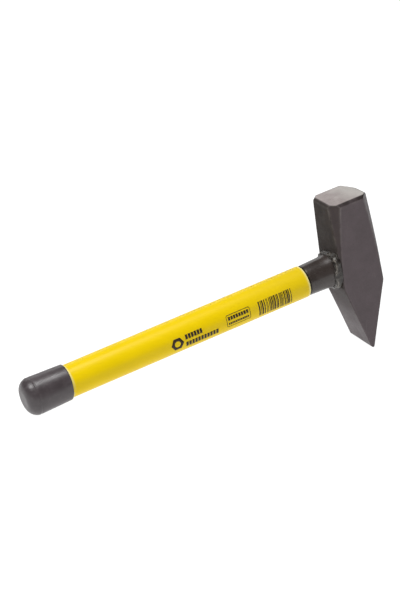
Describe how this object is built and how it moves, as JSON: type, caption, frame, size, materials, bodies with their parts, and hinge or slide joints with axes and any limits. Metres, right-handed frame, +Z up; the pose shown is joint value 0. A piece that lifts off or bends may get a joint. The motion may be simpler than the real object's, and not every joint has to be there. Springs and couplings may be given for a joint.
{
  "type": "brick hammer",
  "caption": "Hand hammer with a square crowned face, a wedge-shaped cross peen, a welded steel tube handle, a thin plastic grip sleeve and a soft rounded end cap.",
  "frame": {"origin": "centre of the bounding box on the floor, with the hammer standing on its peen edge and its end cap", "axes": "+Z up; +X along the hammer from the end cap to the head; the striking face looks up and the peen's edge runs along Y"},
  "size_m": [0.3142, 0.034, 0.1351],
  "materials": {
    "head_paint": "semi-matt dark grey paint over forged steel, worn paler at the edges and on the face",
    "tube_paint": "glossy black paint on steel tube",
    "weld_paint": "black paint over a rippled weld",
    "sleeve_plastic": "glossy yellow",
    "cap_rubber": "satin black soft moulding"
  },
  "bodies": {
    "root": {"head": "head_paint", "handle_pipe": "tube_paint", "weld_bead": "weld_paint", "grip_sleeve": "sleeve_plastic", "end_cap": "cap_rubber"}
  },
  "joints": []
}
